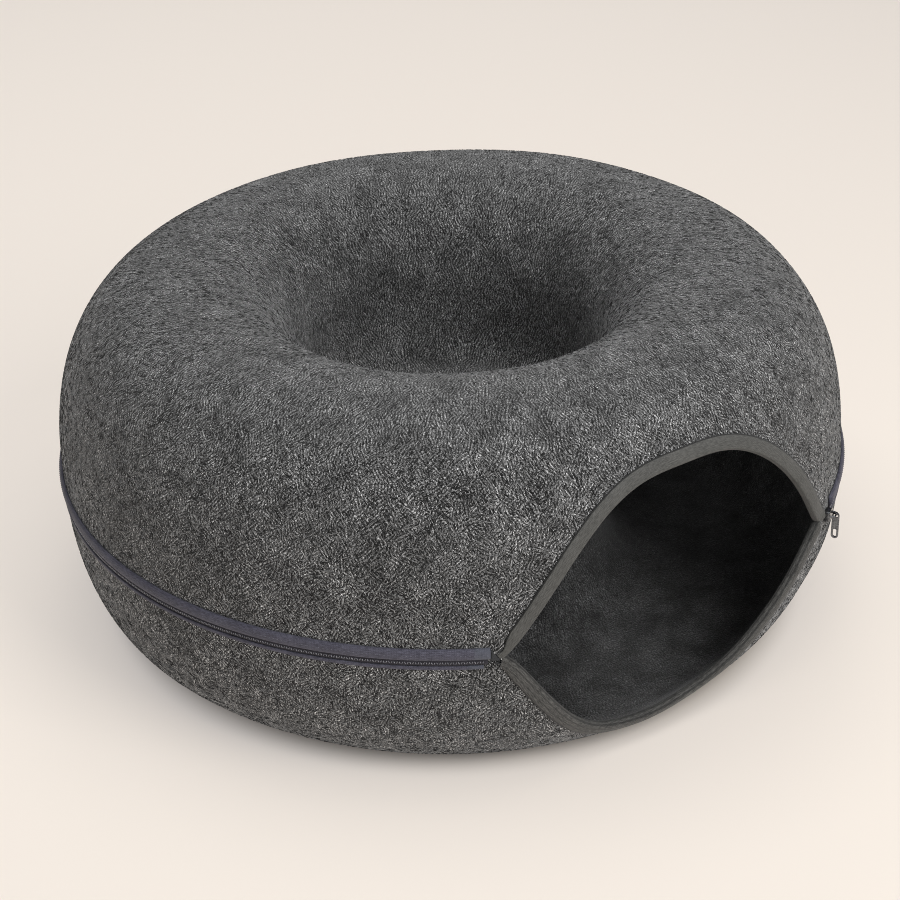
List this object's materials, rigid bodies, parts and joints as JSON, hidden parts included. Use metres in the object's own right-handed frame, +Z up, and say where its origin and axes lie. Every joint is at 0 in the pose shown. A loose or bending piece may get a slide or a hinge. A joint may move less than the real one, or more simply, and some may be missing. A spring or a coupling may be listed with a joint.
{
  "type": "donut tunnel bed",
  "caption": "Round felt cat bed: a hollow ring with a sleeping well in the middle and a bound pointed entrance, zipped around the outside.",
  "frame": {"origin": "on the floor, below the middle of the bed's box; the ring's own axis is 8.5 mm further towards -Y", "axes": "+Z up, -Y out of the entrance, +X to the right of someone who faces the entrance"},
  "size_m": [0.6064, 0.5894, 0.2635],
  "materials": {
    "felt": "marled grey polyester felt, short loose fibres",
    "binding": "smooth warm grey woven tape",
    "zip_tape": "blue-grey woven zip tape",
    "zip_coil": "grey nylon coil",
    "patch": "dark grey stitched cloth",
    "zip_metal": "gunmetal plated"
  },
  "bodies": {
    "root": {"upper_shell": "felt", "lower_shell": "felt", "upper_binding": "binding", "lower_binding": "binding", "upper_zip_tape": "zip_tape", "lower_zip_tape": "zip_tape", "zip_coil": "zip_coil", "zip_end_patch": "patch", "zip_slider": "zip_metal", "zip_pull": "zip_metal"}
  },
  "joints": []
}
